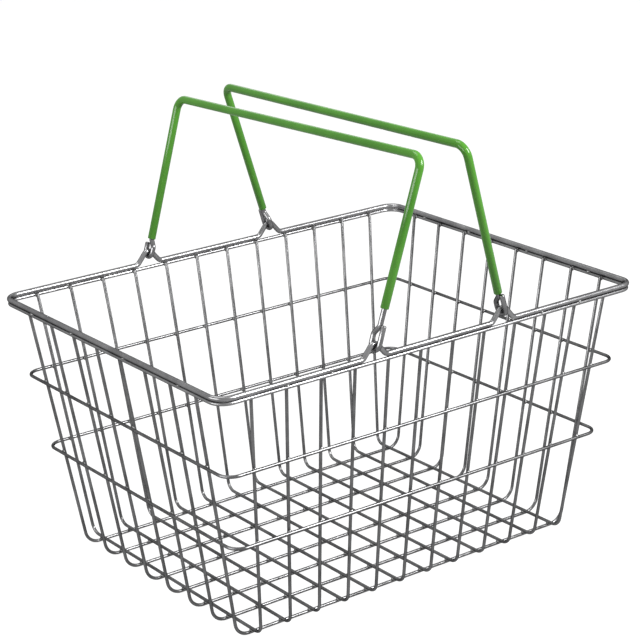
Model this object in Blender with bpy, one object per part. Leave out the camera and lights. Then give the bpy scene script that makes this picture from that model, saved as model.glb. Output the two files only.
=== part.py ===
"""Wire shopping basket with two folding bail handles.

X runs along the basket, Y across it, Z up. The origin is on the floor, under the middle.
"""
import math

import bpy

# Sizes, in metres. The basket's are over the outside of the thick rim wire.
basket_length = 0.429
basket_width = 0.333
basket_height = 0.229
floor_length = 0.348
floor_width = 0.258
rim_wire = 0.0046
lower_rim_wire = 0.0032
mesh_wire = 0.0028
bail_wire = 0.0045
sleeve_od = 0.0070
sleeve_wall = 0.0010

# Corner radii of the horizontal wires, and bend radii at the floor, on the centre lines.
rim_corner = 0.013
belt_corner = 0.012
long_bend = 0.0130
cross_bend = 0.0090

# Heights of the two belt wires above the floor.
upper_belt_height = 0.158
lower_belt_height = 0.0915

# Twelve wires cross the basket and eight run along it. Their tops fan out to these
# distances from the rim's corners, and on the floor they keep clear of the other
# set's bends by these.
cross_count = 12
long_count = 8
cross_corner_gap = 0.031
long_corner_gap = 0.037
cross_foot_gap = 0.0016
long_foot_gap = 0.0040

# The handles hook on after this many cross wires, counted from each end. The rim wire
# rises there at this slope, in degrees, from bends of this radius.
handle_bay = 4
kink_slope = 50.0
kink_foot_bend = 0.0055

# The length of the jog that sets a leg over the rim, the bail's corner radius, how far
# its legs spread towards the bar, and how far the folded bar lies outside the short rim's
# middle.
jog_length = 0.0065
bail_bend = 0.0100
bail_flare = 0.0046
bar_overhang = 0.0027

# Each bar slopes: its -Y end stands this far above its middle and its +Y end as far below.
bar_skew = {"a": 0.0058, "b": 0.0045}

# At the -Y and the +Y leg: the heights above the hinge of the hook's tip and of the jog's
# end, and the bare wire from there to the sleeve.
hook_tip = {"a": (0.0205, 0.0120), "b": (0.0186, 0.0184)}
jog_end = {"a": (0.0190, 0.0160), "b": (0.0165, 0.0165)}
bare_neck = {"a": (0.0147, 0.0003), "b": (0.0032, 0.0039)}

# How far each handle leans inward from upright, in degrees.
lean = {"a": 17.9, "b": 15.5}

# Gap between two welded wires, round the rim in a hook, and over the rim when folded.
weld_gap = 0.0002
hook_clearance = 0.0004
fold_clearance = 0.0002

# How many flat sides a wire has, and how many steps its bends are drawn with.
sides = 8
bend_steps = 8
kink_steps = 4
hook_steps = 8

# What follows from the sizes above.
half_facet = math.pi / sides
half_length = (basket_length - rim_wire) / 2
half_width = (basket_width - rim_wire) / 2
rim_z = basket_height - rim_wire / 2
lower_rim_z = rim_z - (rim_wire + lower_rim_wire) / 2 - weld_gap
wire_top_z = rim_z - rim_wire / 2
long_z = mesh_wire / 2 * math.cos(half_facet)
cross_z = long_z + mesh_wire + weld_gap
hook_radius = (rim_wire + bail_wire) / 2 + hook_clearance
hinge_lift = (rim_wire + sleeve_od) / 2 + fold_clearance
hinge_z = rim_z + hinge_lift


def material(name, colour, metallic, roughness):
    made = bpy.data.materials.new(name)
    made.use_nodes = True
    shader = made.node_tree.nodes["Principled BSDF"]
    shader.inputs["Base Color"].default_value = (*colour, 1.0)
    shader.inputs["Metallic"].default_value = metallic
    shader.inputs["Roughness"].default_value = roughness
    return made


def tube(name, points, diameter, finish, closed=False, capped=True, twist="Z_UP"):
    """A round wire along the points, with a flat facet facing down where it lies level."""
    curve = bpy.data.curves.new(name, "CURVE")
    curve.dimensions = "3D"
    curve.twist_mode = twist
    curve.bevel_depth = diameter / 2
    curve.bevel_resolution = (sides - 4) // 2
    curve.use_fill_caps = capped and not closed
    spline = curve.splines.new("POLY")
    spline.points.add(len(points) - 1)
    for point, place in zip(spline.points, points):
        point.co = (*place, 1.0)
        point.tilt = half_facet
    spline.use_cyclic_u = closed
    spline.use_smooth = True
    curve.materials.append(finish)
    item = bpy.data.objects.new(name, curve)
    bpy.context.scene.collection.objects.link(item)
    return item


def arc(centre_u, centre_v, radius, start, end, steps):
    """Points (u, v) on an arc, from the start angle to the end angle in degrees."""
    points = []
    for step in range(steps + 1):
        angle = math.radians(start + (end - start) * step / steps)
        points.append((centre_u + radius * math.cos(angle), centre_v + radius * math.sin(angle)))
    return points


def ring_points(half_x, half_y, radius, z):
    """A level rectangle with round corners, anticlockwise from the middle of the -Y side."""
    flat = [(0.0, -half_y)]
    for sign_x, sign_y, start in ((1, -1, -90), (1, 1, 0), (-1, 1, 90), (-1, -1, 180)):
        corner_x = sign_x * (half_x - radius)
        corner_y = sign_y * (half_y - radius)
        flat += arc(corner_x, corner_y, radius, start, start + 90, bend_steps)
        if (sign_x, sign_y) == (1, 1):
            flat.append((0.0, half_y))
    return [(x, y, z) for x, y in flat]


def kink_points(centre, side):
    """The rise that carries the rim wire over a hook, round the hinge axis at one x."""
    slope = math.radians(kink_slope)
    foot_top = kink_foot_bend * (1 - math.cos(slope))
    leg_top = hinge_lift + hook_radius * math.cos(slope)
    leg_foot = hook_radius * math.sin(slope) + (leg_top - foot_top) / math.tan(slope)
    foot_x = leg_foot + kink_foot_bend * math.sin(slope)
    right = arc(0.0, hinge_lift, hook_radius, 90, 90 - kink_slope, kink_steps)
    right += arc(foot_x, kink_foot_bend, kink_foot_bend, 270 - kink_slope, 270, kink_steps)
    left = [(-x, lift) for x, lift in reversed(right[1:])]
    return [(centre + x, side * half_width, rim_z + lift) for x, lift in left + right]


def rim_points():
    """The rim wire's rectangle with two kinks on each long side."""
    points = []
    near = kink_points(-hinge_x, -1) + kink_points(hinge_x, -1)
    far = [(-x, -y, z) for x, y, z in near]
    for x, y, z in ring_points(half_length, half_width, rim_corner, rim_z):
        if x == 0.0:
            points += near if y < 0 else far
        else:
            points.append((x, y, z))
    return points


def wall_line(floor_half, rim_half, floor_z):
    """The slope of a wall: how far out its wires stand at a height."""
    top_half = rim_half - (lower_rim_wire + mesh_wire) / 2 - weld_gap
    rate = (top_half - floor_half) / (lower_rim_z - floor_z)

    def out_at(z):
        return floor_half + (z - floor_z) * rate

    return out_at, rate


def bend_cut(radius, rate):
    """Distance from a wall's foot to where its bend starts on the floor."""
    return radius / math.tan((math.pi / 2 + math.atan(rate)) / 2)


def u_profile(out_at, rate, floor_z, radius):
    """Half of a U wire as (out, z): from the middle of the floor up to the wall's top."""
    foot = out_at(floor_z)
    start = foot - bend_cut(radius, rate)
    bend = arc(start, floor_z + radius, radius, -90, -math.degrees(math.atan(rate)), bend_steps)
    return bend + [(out_at(wire_top_z), wire_top_z)]


def fanned(base, top, floor_z, z):
    """Sideways place of a U wire: parallel on the floor, fanned out up the wall."""
    return base + (top - base) * (z - floor_z) / (wire_top_z - floor_z)


def spread(count, half, index):
    return half * (2 * index / (count - 1) - 1)


# Where the walls stand, and the outermost wires on the floor and at the rim.
long_out, long_rate = wall_line(floor_length / 2, half_length, long_z)
cross_out, cross_rate = wall_line(floor_width / 2, half_width, cross_z)
cross_foot = bend_cut(long_bend, long_rate) + mesh_wire / 2 + cross_foot_gap
long_foot = bend_cut(cross_bend, cross_rate) + mesh_wire / 2 + long_foot_gap
cross_floor_half = floor_length / 2 - cross_foot
long_floor_half = floor_width / 2 - long_foot
cross_top_half = half_length - cross_corner_gap
long_top_half = half_width - long_corner_gap

# The hinge lies midway between two cross wires, and the folded bar reaches the short rim.
hinge_x = cross_top_half - (2 * handle_bay - 1) * cross_top_half / (cross_count - 1)
bail_reach = half_length - hinge_x + bar_overhang


def cross_wires(finish):
    profile = u_profile(cross_out, cross_rate, cross_z, cross_bend)
    for index in range(cross_count):
        base = spread(cross_count, cross_floor_half, index)
        top = spread(cross_count, cross_top_half, index)
        right = [(fanned(base, top, cross_z, z), out, z) for out, z in profile]
        left = [(x, -y, z) for x, y, z in reversed(right)]
        tube(f"cross_wire_{index + 1:02d}", left + right, mesh_wire, finish)


def long_wires(finish):
    profile = u_profile(long_out, long_rate, long_z, long_bend)
    for index in range(long_count):
        base = spread(long_count, long_floor_half, index)
        top = spread(long_count, long_top_half, index)
        right = [(out, fanned(base, top, long_z, z), z) for out, z in profile]
        left = [(-x, y, z) for x, y, z in reversed(right)]
        tube(f"long_wire_{index + 1:02d}", left + right, mesh_wire, finish)


def belt(name, z, finish):
    """A ring welded round the outside of the upright wires."""
    half_x = long_out(z) + (mesh_wire + weld_gap) * math.hypot(1, long_rate)
    half_y = cross_out(z) + (mesh_wire + weld_gap) * math.hypot(1, cross_rate)
    tube(name, ring_points(half_x, half_y, belt_corner, z), mesh_wire, finish, closed=True)


def leg_at(height):
    """How far out a bail's leg stands at a height above the hinge."""
    return half_width + bail_flare * height / bail_reach


def corner_points(rise):
    """The round corner of a leg and the bar, as (out, height), with the bar's slope."""
    leg_rate = bail_flare / bail_reach
    bar_rate = rise / half_width
    leg_inset = leg_at(0.0) - bail_bend * math.hypot(1, leg_rate)
    bar_inset = bail_reach - bail_bend * math.hypot(1, bar_rate)
    height = (bar_inset + bar_rate * leg_inset) / (1 - bar_rate * leg_rate)
    out = leg_inset + leg_rate * height
    leg_angle = -math.degrees(math.atan(leg_rate))
    bar_angle = 90 + math.degrees(math.atan(bar_rate))
    return arc(out, height, bail_bend, leg_angle, bar_angle, bend_steps)


def hook_points(tip, jog):
    """The hook from its outer tip, under the rim and up to the leg, as (out, height)."""
    points = [(half_width + hook_radius, tip)]
    points += arc(half_width, hook_radius, hook_radius, 0, -180, hook_steps)
    inner = half_width - hook_radius
    for step in range(bend_steps + 1):
        blend = (1 - math.cos(math.pi * step / bend_steps)) / 2
        height = jog - jog_length * (1 - step / bend_steps)
        points.append((inner + (leg_at(jog) - inner) * blend, height))
    return points


def leg_points(letter, end):
    """One hook, leg and corner, and the same leg's sleeved stretch. End 0 is at -Y."""
    jog = jog_end[letter][end]
    sleeve_end = jog + bare_neck[letter][end]
    corner = corner_points(bar_skew[letter] if end == 0 else -bar_skew[letter])
    bail = hook_points(hook_tip[letter][end], jog) + corner
    return bail, [(leg_at(sleeve_end), sleeve_end)] + corner


def across(far, near):
    """Two halves of (out, height) as one line from the +Y end to the -Y end."""
    line = [(0.0, out, height) for out, height in far]
    return line + [(0.0, -out, height) for out, height in reversed(near)]


def handle(letter, side, steel, green):
    """One bail and its sleeve, upright in a frame on the hinge axis, then leaned inward."""
    hinge = bpy.data.objects.new(f"hinge_{letter}", None)
    bpy.context.scene.collection.objects.link(hinge)
    hinge.location = (side * hinge_x, 0.0, hinge_z)
    hinge.rotation_euler = (0.0, -side * math.radians(lean[letter]), 0.0)

    near_bail, near_grip = leg_points(letter, 0)
    far_bail, far_grip = leg_points(letter, 1)
    bail = tube(f"bail_{letter}", across(far_bail, near_bail), bail_wire, steel, twist="MINIMUM")
    bail.parent = hinge

    grip = across(far_grip, near_grip)
    sleeve = tube(f"sleeve_{letter}", grip, sleeve_od, green, capped=False, twist="MINIMUM")
    wall = sleeve.modifiers.new("wall", "SOLIDIFY")
    wall.thickness = sleeve_wall
    wall.offset = -1.0
    sleeve.parent = hinge


for old in list(bpy.data.objects):
    bpy.data.objects.remove(old, do_unlink=True)

zinc = material("bright_zinc", (0.46, 0.46, 0.47), 1.0, 0.28)
rim_zinc = material("rim_zinc", (0.42, 0.42, 0.44), 1.0, 0.30)
bail_zinc = material("bail_zinc", (0.50, 0.50, 0.52), 1.0, 0.25)
green_sleeve = material("green_sleeve", (0.112, 0.376, 0.056), 0.0, 0.38)

cross_wires(zinc)
long_wires(zinc)
tube("rim", rim_points(), rim_wire, rim_zinc, closed=True)
tube("lower_rim", ring_points(half_length, half_width, rim_corner, lower_rim_z),
     lower_rim_wire, zinc, closed=True)
belt("upper_belt", upper_belt_height, zinc)
belt("lower_belt", lower_belt_height, zinc)
handle("a", -1, bail_zinc, green_sleeve)
handle("b", 1, bail_zinc, green_sleeve)
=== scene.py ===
import math

import bmesh
import bpy
from mathutils import Euler, Matrix, Vector


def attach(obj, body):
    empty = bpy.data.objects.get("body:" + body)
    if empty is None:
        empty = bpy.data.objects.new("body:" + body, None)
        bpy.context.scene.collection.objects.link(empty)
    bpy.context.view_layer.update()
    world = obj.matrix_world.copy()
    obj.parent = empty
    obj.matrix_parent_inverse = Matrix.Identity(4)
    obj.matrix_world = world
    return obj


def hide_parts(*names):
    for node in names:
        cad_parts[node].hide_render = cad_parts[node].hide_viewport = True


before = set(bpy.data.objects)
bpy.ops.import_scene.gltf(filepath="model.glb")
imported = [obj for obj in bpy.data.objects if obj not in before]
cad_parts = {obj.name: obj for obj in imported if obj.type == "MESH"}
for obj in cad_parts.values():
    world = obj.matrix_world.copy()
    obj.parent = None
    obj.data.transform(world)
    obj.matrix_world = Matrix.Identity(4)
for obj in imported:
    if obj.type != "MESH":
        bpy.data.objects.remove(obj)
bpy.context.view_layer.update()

# Everything is in metres: X along the basket, Y across it, Z up, floor at 0.
# The sizes here are the CAD part's. A few differ by a tenth or two of a millimetre, because
# its wires are eight-sided and the rounder ones here have to stay inside its box.
basket = {
    "halfLength": 0.2120,       # to the middle of the thick rim wire
    "halfWidth": 0.1641,
    "rimHeight": 0.2267,
    "lowerRimHeight": 0.2226,
    "rimWire": 0.0045,
    "lowerRimWire": 0.0031,
    "meshWire": 0.0028,
    "floorHalfLength": 0.174,
    "floorHalfWidth": 0.129,
    "longHeight": 0.0014,       # the long wires lie lowest, the cross wires on them
    "crossHeight": 0.0043,
    "weldGap": 0.0002,
}


# Materials

def addNode(tree, kind, **sockets):
    node = tree.nodes.new(kind)
    for name, value in sockets.items():
        node.inputs[name].default_value = value
    return node


def wireCoordinates(tree, stretch):
    # the wire's own coordinates: round it in x and y, along it in z
    spot = tree.nodes.new("ShaderNodeAttribute")
    spot.attribute_name = "wireSpot"
    mapping = addNode(tree, "ShaderNodeMapping")
    mapping.inputs["Scale"].default_value = (1, 1, stretch)
    tree.links.new(spot.outputs["Vector"], mapping.inputs["Vector"])
    return mapping.outputs["Vector"]


def mixColours(tree, factor, look, spread):
    # dark at the low end of the noise's spread, light at its high end
    ramp = tree.nodes.new("ShaderNodeValToRGB")
    for element, position, shade in zip(ramp.color_ramp.elements, spread, ("dark", "light")):
        element.position = position
        element.color = (*look[shade], 1)
    tree.links.new(factor, ramp.inputs["Fac"])
    return ramp.outputs["Color"]


noiseSpread = (0.3, 0.7)        # most values of a noise lie between these


def unevenGloss(tree, factor, look):
    node = tree.nodes.new("ShaderNodeMapRange")
    node.inputs["From Min"].default_value = noiseSpread[0]
    node.inputs["From Max"].default_value = noiseSpread[1]
    node.inputs["To Min"].default_value = look["smooth"]
    node.inputs["To Max"].default_value = look["rough"]
    tree.links.new(factor, node.inputs["Value"])
    return node.outputs["Result"]


def addedHeights(tree, first, second):
    node = tree.nodes.new("ShaderNodeMath")
    node.operation = "ADD"
    tree.links.new(first, node.inputs[0])
    tree.links.new(second, node.inputs[1])
    return node.outputs["Value"]


plating = {
    "cloudDetail": 4.0,
    "cloudRoughness": 0.6,
    "cloudSpread": (0.35, 0.68),
    "lineDetail": 3.0,
    "lineStretch": 0.03,        # the die lines' scale along the wire, against 1 round it
    "pitDetail": 2.0,
    "bumpDepth": 0.00006,
}


def platedWire(name, look):
    # drawn steel wire under bright plating: die lines along it, cloudy patches, fine pits
    made = bpy.data.materials.new(name)
    made.use_nodes = True
    tree = made.node_tree
    shader = tree.nodes["Principled BSDF"]
    shader.inputs["Metallic"].default_value = 1.0
    shader.inputs["Specular Tint"].default_value = look["edgeTint"]
    coordinates = tree.nodes.new("ShaderNodeTexCoord")
    clouds = addNode(tree, "ShaderNodeTexNoise", Scale=look["cloudScale"],
                     Detail=plating["cloudDetail"], Roughness=plating["cloudRoughness"])
    tree.links.new(coordinates.outputs["Object"], clouds.inputs["Vector"])
    lines = addNode(tree, "ShaderNodeTexNoise", Scale=look["lineScale"],
                    Detail=plating["lineDetail"])
    tree.links.new(wireCoordinates(tree, plating["lineStretch"]), lines.inputs["Vector"])
    pits = addNode(tree, "ShaderNodeTexNoise", Scale=look["pitScale"],
                   Detail=plating["pitDetail"])
    tree.links.new(coordinates.outputs["Object"], pits.inputs["Vector"])
    colour = mixColours(tree, clouds.outputs["Fac"], look, plating["cloudSpread"])
    tree.links.new(colour, shader.inputs["Base Color"])
    tree.links.new(unevenGloss(tree, lines.outputs["Fac"], look), shader.inputs["Roughness"])
    heights = addedHeights(tree, lines.outputs["Fac"], pits.outputs["Fac"])
    bump = addNode(tree, "ShaderNodeBump", Strength=look["bump"], Distance=plating["bumpDepth"])
    tree.links.new(heights, bump.inputs["Height"])
    tree.links.new(bump.outputs["Normal"], shader.inputs["Normal"])
    return made


vinyl = {
    "ior": 1.52,
    "shadeDetail": 3.0,
    "lineDetail": 2.0,
    "lineStretch": 0.02,        # the drawn lines' scale along the tube, against 1 round it
    "skinDetail": 3.0,
    "bumpDepth": 0.0001,
}


def vinylSleeve(name, look):
    # soft extruded tube: faint lines along it, slow shade changes, a softly uneven skin
    made = bpy.data.materials.new(name)
    made.use_nodes = True
    tree = made.node_tree
    shader = tree.nodes["Principled BSDF"]
    shader.inputs["Metallic"].default_value = 0.0
    shader.inputs["IOR"].default_value = vinyl["ior"]
    coordinates = tree.nodes.new("ShaderNodeTexCoord")
    shade = addNode(tree, "ShaderNodeTexNoise", Scale=look["shadeScale"],
                    Detail=vinyl["shadeDetail"])
    tree.links.new(coordinates.outputs["Object"], shade.inputs["Vector"])
    lines = addNode(tree, "ShaderNodeTexNoise", Scale=look["lineScale"],
                    Detail=vinyl["lineDetail"])
    tree.links.new(wireCoordinates(tree, vinyl["lineStretch"]), lines.inputs["Vector"])
    skin = addNode(tree, "ShaderNodeTexNoise", Scale=look["skinScale"],
                   Detail=vinyl["skinDetail"])
    tree.links.new(coordinates.outputs["Object"], skin.inputs["Vector"])
    colour = mixColours(tree, shade.outputs["Fac"], look, noiseSpread)
    tree.links.new(colour, shader.inputs["Base Color"])
    tree.links.new(unevenGloss(tree, skin.outputs["Fac"], look), shader.inputs["Roughness"])
    heights = addedHeights(tree, lines.outputs["Fac"], skin.outputs["Fac"])
    bump = addNode(tree, "ShaderNodeBump", Strength=look["bump"], Distance=vinyl["bumpDepth"])
    tree.links.new(heights, bump.inputs["Height"])
    tree.links.new(bump.outputs["Normal"], shader.inputs["Normal"])
    return made


# Each finish runs from dark to light in slow noise, and from smooth to rough in fine noise.
finishes = {
    "mesh": {
        "dark": (0.16, 0.16, 0.163), "light": (0.28, 0.28, 0.285),
        "smooth": 0.20, "rough": 0.36, "bump": 0.10, "edgeTint": (0.02, 0.02, 0.02, 1),
        "cloudScale": 55.0, "lineScale": 2600.0, "pitScale": 1400.0,
    },
    "rim": {
        "dark": (0.32, 0.32, 0.326), "light": (0.46, 0.46, 0.468),
        "smooth": 0.22, "rough": 0.34, "bump": 0.08, "edgeTint": (0.02, 0.02, 0.02, 1),
        "cloudScale": 40.0, "lineScale": 1900.0, "pitScale": 1200.0,
    },
    "bail": {
        "dark": (0.24, 0.24, 0.245), "light": (0.38, 0.38, 0.386),
        "smooth": 0.18, "rough": 0.30, "bump": 0.08, "edgeTint": (0.02, 0.02, 0.02, 1),
        "cloudScale": 70.0, "lineScale": 1900.0, "pitScale": 1200.0,
    },
    "weld": {
        "dark": (0.14, 0.14, 0.14), "light": (0.50, 0.50, 0.50),
        "smooth": 0.22, "rough": 0.48, "bump": 0.5, "edgeTint": (0.2, 0.2, 0.2, 1),
        "cloudScale": 260.0, "lineScale": 900.0, "pitScale": 900.0,
    },
    "sleeve": {
        "dark": (0.068, 0.29, 0.018), "light": (0.105, 0.385, 0.032),
        "smooth": 0.11, "rough": 0.20, "bump": 0.04,
        "shadeScale": 22.0, "lineScale": 900.0, "skinScale": 900.0,
    },
}

meshZinc = platedWire("platedMeshWire", finishes["mesh"])
rimZinc = platedWire("platedRimWire", finishes["rim"])
bailZinc = platedWire("platedBailWire", finishes["bail"])
weldZinc = platedWire("platedWeld", finishes["weld"])
greenVinyl = vinylSleeve("greenVinyl", finishes["sleeve"])
print("materials made")


# Wire bending. A way is a list of (corner, bend radius). The wire starts as a circle,
# is pushed out along each straight and spun round each bend.
bending = {
    "stepDegrees": 9.0,         # a bend gets a new ring of points every so many degrees
    "fewestSteps": 2,
    "straightAngle": 0.0001,    # a smaller angle than this is no bend
    "shortestRun": 0.000001,
    "mergeDistance": 0.00001,   # where a closed ring's two ends meet
    "endBevel": 0.16,           # as a share of the wire's thickness
    "endSegments": 2,
}
sidesRound = {"mesh": 14, "lowerRim": 16, "rim": 20, "bail": 24, "sleeve": 28}


def ringOf(found):
    verts = [item for item in found if isinstance(item, bmesh.types.BMVert)]
    edges = [item for item in found if isinstance(item, bmesh.types.BMEdge)]
    return verts, edges


def bendAt(before, corner, after, radius):
    inward = (corner - before).normalized()
    outward = (after - corner).normalized()
    angle = inward.angle(outward)
    cut = radius * math.tan(angle / 2)
    if angle < bending["straightAngle"]:
        return {"start": corner, "end": corner, "angle": 0.0}
    axis = inward.cross(outward).normalized()
    start = corner - inward * cut
    return {
        "start": start,
        "end": corner + outward * cut,
        "centre": start + axis.cross(inward) * radius,
        "axis": axis,
        "angle": angle,
    }


def bendWire(bm, way, diameter, sides, closed=False):
    corners = [Vector(corner) for corner, radius in way]
    last = len(corners) - 1
    bends = []
    for index, (corner, radius) in enumerate(way):
        if closed or 0 < index < last:
            following = corners[(index + 1) % len(corners)]
            bends.append(bendAt(corners[index - 1], corners[index], following, radius))
    here = bends[-1]["end"] if closed else corners[0]
    heading = (bends[0]["start"] - here if bends else corners[-1] - here).normalized()
    facing = heading.to_track_quat("Z", "Y").to_matrix().to_4x4()
    began = bmesh.ops.create_circle(bm, segments=sides, radius=diameter / 2,
                                    matrix=Matrix.Translation(here) @ facing)
    verts = began["verts"]
    edges = list({edge for vert in verts for edge in vert.link_edges})
    firstEdges = edges
    for bend in bends:
        run = bend["start"] - here
        if run.length > bending["shortestRun"]:
            verts, edges = ringOf(bmesh.ops.extrude_edge_only(bm, edges=edges)["geom"])
            bmesh.ops.translate(bm, verts=verts, vec=run)
        if bend["angle"]:
            steps = round(math.degrees(bend["angle"]) / bending["stepDegrees"])
            turned = bmesh.ops.spin(bm, geom=verts + edges, cent=bend["centre"], axis=bend["axis"],
                                    angle=bend["angle"], use_duplicate=False,
                                    steps=max(bending["fewestSteps"], steps))
            verts, edges = ringOf(turned["geom_last"])
        here = bend["end"]
    if not closed:
        verts, edges = ringOf(bmesh.ops.extrude_edge_only(bm, edges=edges)["geom"])
        bmesh.ops.translate(bm, verts=verts, vec=corners[-1] - here)
    return firstEdges, edges


def markWire(bm, diameter, sides):
    # stores where each point is round and along the wire, for the materials
    bm.verts.ensure_lookup_table()
    layer = bm.verts.layers.float_vector.new("wireSpot")
    along = 0.0
    previous = None
    for first in range(0, len(bm.verts), sides):
        ring = bm.verts[first:first + sides]
        middle = sum((vert.co for vert in ring), Vector()) / sides
        along += (middle - previous).length if previous else 0.0
        previous = middle
        for index, vert in enumerate(ring):
            turn = 2 * math.pi * index / sides
            vert[layer] = (math.cos(turn) * diameter / 2, math.sin(turn) * diameter / 2, along)


def roundEnds(bm, rings, diameter):
    # sheared ends: filled, with the cut edge dulled
    for ring in rings:
        bmesh.ops.edgeloop_fill(bm, edges=ring)
        bmesh.ops.bevel(bm, geom=ring, offset=diameter * bending["endBevel"],
                        offset_type="OFFSET", segments=bending["endSegments"], profile=0.5,
                        affect="EDGES", material=-1, clamp_overlap=True)


def finishPiece(bm, name, material, body, slot, *nodes):
    bmesh.ops.recalc_face_normals(bm, faces=bm.faces)
    for face in bm.faces:
        face.smooth = True
    mesh = bpy.data.meshes.new(name)
    bm.to_mesh(mesh)
    bm.free()
    mesh.materials.append(material)
    piece = bpy.data.objects.new(name, mesh)
    bpy.context.scene.collection.objects.link(piece)
    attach(piece, body)
    if nodes:
        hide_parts(*nodes)
    return piece


def wirePiece(name, way, diameter, material, slot, node, body="basket", closed=False,
              sides=sidesRound["mesh"], place=None):
    bm = bmesh.new()
    ends = bendWire(bm, way, diameter, sides, closed)
    markWire(bm, diameter, sides)
    if closed:
        bmesh.ops.remove_doubles(bm, verts=bm.verts, dist=bending["mergeDistance"])
    else:
        roundEnds(bm, ends, diameter)
    if place:
        bmesh.ops.transform(bm, matrix=place, verts=bm.verts)
    return finishPiece(bm, name, material, body, slot, node)


# The mesh: twelve cross wires on eight long ones, each bent to a U, fanned out up the walls.
mesh = {
    "crossCount": 12,
    "longCount": 8,
    "crossBend": 0.0090,
    "longBend": 0.0130,
    "crossFloorHalf": 0.159894, # the outermost wires' places on the floor and at the top
    "crossTopHalf": 0.1812,
    "longFloorHalf": 0.115823,
    "longTopHalf": 0.1272,
    "topHeight": 0.2243,
}


def wallReach(floorHalf, rimHalf, floorHeight):
    inset = (basket["lowerRimWire"] + basket["meshWire"]) / 2 + basket["weldGap"]
    rate = (rimHalf - inset - floorHalf) / (basket["lowerRimHeight"] - floorHeight)
    return lambda height: floorHalf + (height - floorHeight) * rate


longReach = wallReach(basket["floorHalfLength"], basket["halfLength"], basket["longHeight"])
crossReach = wallReach(basket["floorHalfWidth"], basket["halfWidth"], basket["crossHeight"])


def spreadOut(count, half, index):
    return half * (2 * index / (count - 1) - 1)


def fannedAt(base, top, floorHeight, height):
    return base + (top - base) * (height - floorHeight) / (mesh["topHeight"] - floorHeight)


for index in range(mesh["crossCount"]):
    base = spreadOut(mesh["crossCount"], mesh["crossFloorHalf"], index)
    top = spreadOut(mesh["crossCount"], mesh["crossTopHalf"], index)
    reach = crossReach(mesh["topHeight"])
    way = [
        ((top, -reach, mesh["topHeight"]), 0),
        ((base, -basket["floorHalfWidth"], basket["crossHeight"]), mesh["crossBend"]),
        ((base, basket["floorHalfWidth"], basket["crossHeight"]), mesh["crossBend"]),
        ((top, reach, mesh["topHeight"]), 0),
    ]
    number = "%02d" % (index + 1)
    wirePiece("crossWire" + number, way, basket["meshWire"], meshZinc, "bright_zinc",
              "cross_wire_" + number)

for index in range(mesh["longCount"]):
    base = spreadOut(mesh["longCount"], mesh["longFloorHalf"], index)
    top = spreadOut(mesh["longCount"], mesh["longTopHalf"], index)
    reach = longReach(mesh["topHeight"])
    way = [
        ((-reach, top, mesh["topHeight"]), 0),
        ((-basket["floorHalfLength"], base, basket["longHeight"]), mesh["longBend"]),
        ((basket["floorHalfLength"], base, basket["longHeight"]), mesh["longBend"]),
        ((reach, top, mesh["topHeight"]), 0),
    ]
    number = "%02d" % (index + 1)
    wirePiece("longWire" + number, way, basket["meshWire"], meshZinc, "bright_zinc",
              "long_wire_" + number)
print("mesh wires bent")


# The rims and belts: rings round the outside of the upright wires.
rings = {
    "rimCorner": 0.013,
    "beltCorner": 0.012,
    "upperBelt": 0.158,         # the belts' heights
    "lowerBelt": 0.0915,
    "kinkSlope": 50.0,          # the rim's rise over a hook, in degrees
    "kinkFoot": 0.0055,         # the bend at the foot of the rise
    "hingeX": 0.0658909,
    "hingeLift": 0.0060,        # the hinge axis over the rim wire's middle
    "hookRadius": 0.00495,
}


def ringWay(halfX, halfY, corner, height):
    quarters = ((-1, -1), (1, -1), (1, 1), (-1, 1))
    return [((x * halfX, y * halfY, height), corner) for x, y in quarters]


def beltOut(reach, height, rise=0.01):
    # clear of the slanted uprights, whose slant is measured over this rise
    rate = (reach(height + rise) - reach(height)) / rise
    return reach(height) + (basket["meshWire"] + basket["weldGap"]) * math.hypot(1, rate)


def kinkWay(centre, side):
    slope = math.radians(rings["kinkSlope"])
    apex = rings["hingeLift"] + rings["hookRadius"] / math.cos(slope)
    foot = apex / math.tan(slope)
    y = side * basket["halfWidth"]
    level = basket["rimHeight"]
    steps = [
        ((centre - foot, y, level), rings["kinkFoot"]),
        ((centre, y, level + apex), rings["hookRadius"]),
        ((centre + foot, y, level), rings["kinkFoot"]),
    ]
    return steps if side < 0 else steps[::-1]


cornerWay = ringWay(basket["halfLength"], basket["halfWidth"], rings["rimCorner"],
                    basket["rimHeight"])
rimWay = cornerWay[:1] + kinkWay(-rings["hingeX"], -1) + kinkWay(rings["hingeX"], -1)
rimWay += cornerWay[1:3] + kinkWay(rings["hingeX"], 1) + kinkWay(-rings["hingeX"], 1)
rimWay += cornerWay[3:]
wirePiece("rimWire", rimWay, basket["rimWire"], rimZinc, "rim_zinc", "rim",
          closed=True, sides=sidesRound["rim"])

lowerWay = ringWay(basket["halfLength"], basket["halfWidth"], rings["rimCorner"],
                   basket["lowerRimHeight"])
wirePiece("lowerRimWire", lowerWay, basket["lowerRimWire"], rimZinc, "bright_zinc", "lower_rim",
          closed=True, sides=sidesRound["lowerRim"])

for name, node in (("upperBelt", "upper_belt"), ("lowerBelt", "lower_belt")):
    height = rings[name]
    way = ringWay(beltOut(longReach, height), beltOut(crossReach, height),
                  rings["beltCorner"], height)
    wirePiece(name, way, basket["meshWire"], meshZinc, "bright_zinc", node, closed=True)
print("rims and belts bent")


# Resistance welds: a small squeezed nugget wherever two wires touch.
welds = {
    "mesh": {"across": 0.0021, "thick": 0.0011},    # half the nugget's width and height
    "rim": {"across": 0.0024, "thick": 0.0012},
    "segments": 10,
    "rings": 6,
    "longSide": (-0.150, -0.108, 0.0, 0.108, 0.150),  # the places between the two rims
    "shortSide": (-0.110, -0.030, 0.050, 0.115),
}


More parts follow.
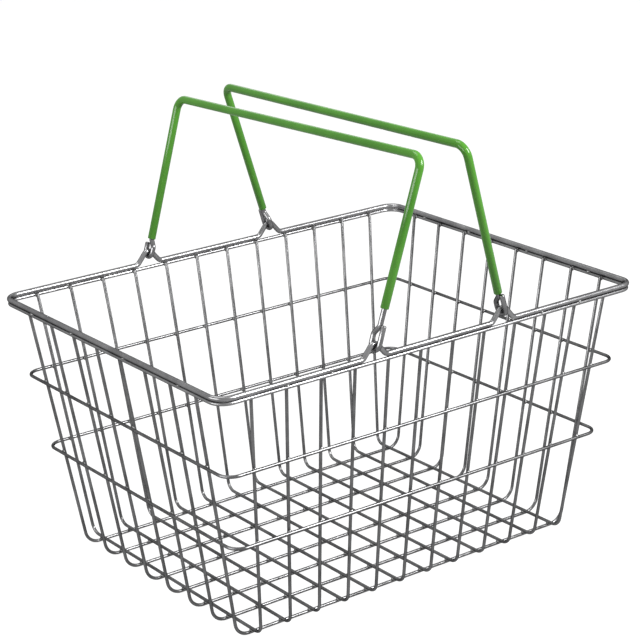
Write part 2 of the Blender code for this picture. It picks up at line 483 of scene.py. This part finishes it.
def nugget(bm, kind, place, normal):
    facing = Vector(normal).to_track_quat("Z", "Y").to_matrix().to_4x4()
    across, thick = welds[kind]["across"], welds[kind]["thick"]
    size = Matrix.Diagonal((across, across, thick, 1))
    bmesh.ops.create_uvsphere(bm, u_segments=welds["segments"], v_segments=welds["rings"],
                              radius=1.0, matrix=Matrix.Translation(place) @ facing @ size)


def wallSpots(height, step):
    # the touching point of each upright and a ring outside it, with the way out
    spots = []
    for index in range(mesh["crossCount"]):
        base = spreadOut(mesh["crossCount"], mesh["crossFloorHalf"], index)
        top = spreadOut(mesh["crossCount"], mesh["crossTopHalf"], index)
        x = fannedAt(base, top, basket["crossHeight"], height)
        for side in (-1, 1):
            spots.append(((x, side * (crossReach(height) + step), height), (0, side, 0)))
    for index in range(mesh["longCount"]):
        base = spreadOut(mesh["longCount"], mesh["longFloorHalf"], index)
        top = spreadOut(mesh["longCount"], mesh["longTopHalf"], index)
        y = fannedAt(base, top, basket["longHeight"], height)
        for side in (-1, 1):
            spots.append(((side * (longReach(height) + step), y, height), (side, 0, 0)))
    return spots


upwards = (0, 0, 1)
meshWelds = bmesh.new()
touch = (basket["meshWire"] + basket["weldGap"]) / 2
middle = (basket["longHeight"] + basket["crossHeight"]) / 2
for i in range(mesh["crossCount"]):
    for j in range(mesh["longCount"]):
        x = spreadOut(mesh["crossCount"], mesh["crossFloorHalf"], i)
        y = spreadOut(mesh["longCount"], mesh["longFloorHalf"], j)
        nugget(meshWelds, "mesh", (x, y, middle), upwards)
for height in (rings["upperBelt"], rings["lowerBelt"]):
    for place, normal in wallSpots(height, touch):
        nugget(meshWelds, "mesh", place, normal)
finishPiece(meshWelds, "meshWelds", weldZinc, "basket", "bright_zinc")

rimWelds = bmesh.new()
for place, normal in wallSpots(basket["lowerRimHeight"], touch):
    nugget(rimWelds, "mesh", place, normal)
seam = basket["rimHeight"] - basket["rimWire"] / 2
for side in (-1, 1):
    for x in welds["longSide"]:
        nugget(rimWelds, "rim", (x, side * basket["halfWidth"], seam), upwards)
    for y in welds["shortSide"]:
        nugget(rimWelds, "rim", (side * basket["halfLength"], y, seam), upwards)
finishPiece(rimWelds, "rimWelds", weldZinc, "basket", "rim_zinc")
print("welds placed")


# The handles: a bail hooked round the rim's rises, in a sleeve. Each is bent upright on
# the hinge axis, then leaned inward by its lean in degrees. Near is the -Y end. The bar's
# near end stands higher than its middle by the skew, and its far end lower.
# Each leg has its heights above the hinge: the hook's tip, the jog's end, the sleeve's end.
handles = {
    "a": {
        "side": -1, "lean": 17.9, "skew": 0.0058,
        "near": {"tip": 0.0205, "jog": 0.0190, "sleeve": 0.0337},
        "far": {"tip": 0.0120, "jog": 0.0160, "sleeve": 0.0163},
    },
    "b": {
        "side": 1, "lean": 15.5, "skew": 0.0045,
        "near": {"tip": 0.0186, "jog": 0.0165, "sleeve": 0.0197},
        "far": {"tip": 0.0184, "jog": 0.0165, "sleeve": 0.0204},
    },
}
bailShape = {
    "wire": 0.0044,
    "reach": 0.1489,            # from the hinge to the bar
    "flare": 0.0044,            # how far a leg spreads outward on its way to the bar
    "corner": 0.0100,
    "jogLength": 0.0065,        # the jog sets the leg out over the rim wire
    "jogBend": 0.0045,
    "sleeveOuter": 0.0070,
    "sleeveWall": 0.0010,
    "lipScale": 0.93,           # the sleeve's ends narrow to this share
    "lipDepth": 0.0003,
}


def legOut(height):
    return basket["halfWidth"] + bailShape["flare"] * height / bailShape["reach"]


def topCorner(skew):
    # where the leg's line meets the bar's line, as (out, height)
    legRate = bailShape["flare"] / bailShape["reach"]
    barRate = skew / basket["halfWidth"]
    height = (bailShape["reach"] + barRate * legOut(0)) / (1 - barRate * legRate)
    return legOut(height), height


def hookWay(leg):
    inner = basket["halfWidth"] - rings["hookRadius"]
    outer = basket["halfWidth"] + rings["hookRadius"]
    return [
        ((outer, leg["tip"]), 0),
        ((outer, 0.0), rings["hookRadius"]),
        ((inner, 0.0), rings["hookRadius"]),
        ((inner, leg["jog"] - bailShape["jogLength"]), bailShape["jogBend"]),
        ((legOut(leg["jog"]), leg["jog"]), bailShape["jogBend"]),
    ]


def acrossHandle(farHalf, nearHalf):
    # two halves of (out, height) made one way from the far end to the near end
    way = [((0, out, height), radius) for (out, height), radius in farHalf]
    way += [((0, -out, height), radius) for (out, height), radius in reversed(nearHalf)]
    return way


def makeHandle(letter, handle):
    body = "handle_" + letter
    hinge = Vector((handle["side"] * rings["hingeX"], 0, basket["rimHeight"] + rings["hingeLift"]))
    lean = Matrix.Rotation(-handle["side"] * math.radians(handle["lean"]), 4, "Y")
    place = Matrix.Translation(hinge) @ lean
    farCorner = (topCorner(-handle["skew"]), bailShape["corner"])
    nearCorner = (topCorner(handle["skew"]), bailShape["corner"])
    bailWay = acrossHandle(hookWay(handle["far"]) + [farCorner],
                           hookWay(handle["near"]) + [nearCorner])
    wirePiece("bail" + letter.upper(), bailWay, bailShape["wire"], bailZinc, "bail_zinc",
              "bail_" + letter, body=body, sides=sidesRound["bail"], place=place)

    ends = {}
    for end in ("far", "near"):
        height = handle[end]["sleeve"]
        ends[end] = ((legOut(height), height), 0)
    sleeveWay = acrossHandle([ends["far"], farCorner], [ends["near"], nearCorner])
    bm = bmesh.new()
    openEnds = bendWire(bm, sleeveWay, bailShape["sleeveOuter"], sidesRound["sleeve"])
    markWire(bm, bailShape["sleeveOuter"], sidesRound["sleeve"])
    for loop in openEnds:
        # a softly rounded lip, rolled in
        verts = ringOf(bmesh.ops.extrude_edge_only(bm, edges=loop)["geom"])[0]
        centre = sum((vert.co for vert in verts), Vector()) / len(verts)
        bmesh.ops.scale(bm, verts=verts, vec=(bailShape["lipScale"],) * 3,
                        space=Matrix.Translation(-centre))
        bmesh.ops.translate(bm, verts=verts, vec=Vector((0, 0, -bailShape["lipDepth"])))
    bmesh.ops.transform(bm, matrix=place, verts=bm.verts)
    sleeve = finishPiece(bm, "sleeve" + letter.upper(), greenVinyl, body, "green_sleeve",
                         "sleeve_" + letter)
    wall = sleeve.modifiers.new("wall", "SOLIDIFY")
    wall.thickness = bailShape["sleeveWall"]
    wall.offset = -1.0
    wall.use_even_offset = True


for letter, handle in handles.items():
    makeHandle(letter, handle)
print("handles bent and sleeved")


# The floor and the light. The camera sees the floor and the sky as white, reflections see
# them dimmer, so that the wires keep their dark bands, and the floor keeps the soft shadow.
studio = {
    "floorSize": 12.0,
    "floorDrop": 0.0002,        # just under the lowest wires
    "floorShade": 0.16,
    "floorRoughness": 0.9,
    "cameraGlow": 0.92,         # the floor's brightness for the camera
    "glossyGlow": 0.36,         # and in reflections
    "skyLight": 0.28,           # the sky's brightness as a light
    "skyGloss": 0.34,           # 0 reflects it as skyLight, 1 as white
}


def raySum(tree, glossyShare):
    # one for a camera ray, and this share for a reflection or what shows through glass
    rays = tree.nodes.new("ShaderNodeLightPath")
    total = rays.outputs["Is Camera Ray"]
    for kind in ("Is Glossy Ray", "Is Transmission Ray"):
        part = tree.nodes.new("ShaderNodeMath")
        part.operation = "MULTIPLY_ADD"
        part.inputs[1].default_value = glossyShare
        tree.links.new(rays.outputs[kind], part.inputs[0])
        tree.links.new(total, part.inputs[2])
        total = part.outputs["Value"]
    return total


floorMaterial = bpy.data.materials.new("paleFloor")
floorMaterial.use_nodes = True
tree = floorMaterial.node_tree
surface = tree.nodes["Principled BSDF"]
surface.inputs["Base Color"].default_value = (studio["floorShade"],) * 3 + (1,)
surface.inputs["Roughness"].default_value = studio["floorRoughness"]
surface.inputs["Emission Color"].default_value = (1, 1, 1, 1)
glow = tree.nodes.new("ShaderNodeMath")
glow.operation = "MULTIPLY"
glow.inputs[1].default_value = studio["cameraGlow"]
tree.links.new(raySum(tree, studio["glossyGlow"] / studio["cameraGlow"]), glow.inputs[0])
tree.links.new(glow.outputs["Value"], surface.inputs["Emission Strength"])

ground = bmesh.new()
bmesh.ops.create_grid(ground, x_segments=1, y_segments=1, size=studio["floorSize"] / 2,
                      matrix=Matrix.Translation((0, 0, -studio["floorDrop"])))
groundMesh = bpy.data.meshes.new("floor")
ground.to_mesh(groundMesh)
ground.free()
groundMesh.materials.append(floorMaterial)
floor = bpy.data.objects.new("floor", groundMesh)
bpy.context.scene.collection.objects.link(floor)

world = bpy.data.worlds.new("studio")
bpy.context.scene.world = world
world.use_nodes = True
tree = world.node_tree
sky = tree.nodes["Background"]
sky.inputs["Color"].default_value = (1, 1, 1, 1)
strength = tree.nodes.new("ShaderNodeMapRange")
strength.inputs["To Min"].default_value = studio["skyLight"]
strength.inputs["To Max"].default_value = 1.0
tree.links.new(raySum(tree, studio["skyGloss"]), strength.inputs["Value"])
tree.links.new(strength.outputs["Result"], sky.inputs["Strength"])

# Power in watts, the lamps' sides in metres.
lamps = {
    "keyLamp": {
        "place": (0.72, -1.25, 1.15), "aim": (0, 0, 0.2),
        "power": 29.0, "wide": 0.68, "tall": 0.68,
    },
    "sideLamp": {
        "place": (-1.52, -0.08, 0.58), "aim": (0, 0, 0.3),
        "power": 10.0, "wide": 1.4, "tall": 0.45,
    },
    "topLamp": {
        "place": (-0.2, 0.5, 1.8), "aim": (0, 0, 0.2),
        "power": 7.5, "wide": 0.95, "tall": 0.95,
    },
    "backLamp": {
        "place": (1.0, 1.6, 1.0), "aim": (0, 0, 0.2),
        "power": 2.0, "wide": 0.8, "tall": 0.8,
    },
}
for name, lamp in lamps.items():
    light = bpy.data.lights.new(name, "AREA")
    light.energy = lamp["power"]
    light.shape = "RECTANGLE"
    light.size = lamp["wide"]
    light.size_y = lamp["tall"]
    item = bpy.data.objects.new(name, light)
    item.location = lamp["place"]
    heading = Vector(lamp["aim"]) - Vector(lamp["place"])
    item.rotation_euler = heading.to_track_quat("-Z", "Y").to_euler()
    bpy.context.scene.collection.objects.link(item)
print("floor and lights set")

# The camera, at the photograph's place. Angles in radians, yaw from +Y towards +X, lens in
# millimetres.
eye = {
    "place": (-1.0398, -1.4379, 0.8095),
    "yaw": 0.627,
    "pitch": -0.331,
    "roll": -0.033,
    "lens": 123.3,
    "sensorWidth": 36.0,
}
cameraData = bpy.data.cameras.new("photoCamera")
cameraData.sensor_width = eye["sensorWidth"]
cameraData.lens = eye["lens"]
camera = bpy.data.objects.new("photoCamera", cameraData)
bpy.context.scene.collection.objects.link(camera)
aim = Euler((math.pi / 2 + eye["pitch"], 0, -eye["yaw"])).to_matrix()
aim = aim @ Matrix.Rotation(eye["roll"], 3, "Z")
camera.matrix_world = Matrix.Translation(eye["place"]) @ aim.to_4x4()
bpy.context.scene.camera = camera
bpy.context.scene.view_settings.view_transform = "Standard"
print("camera set")
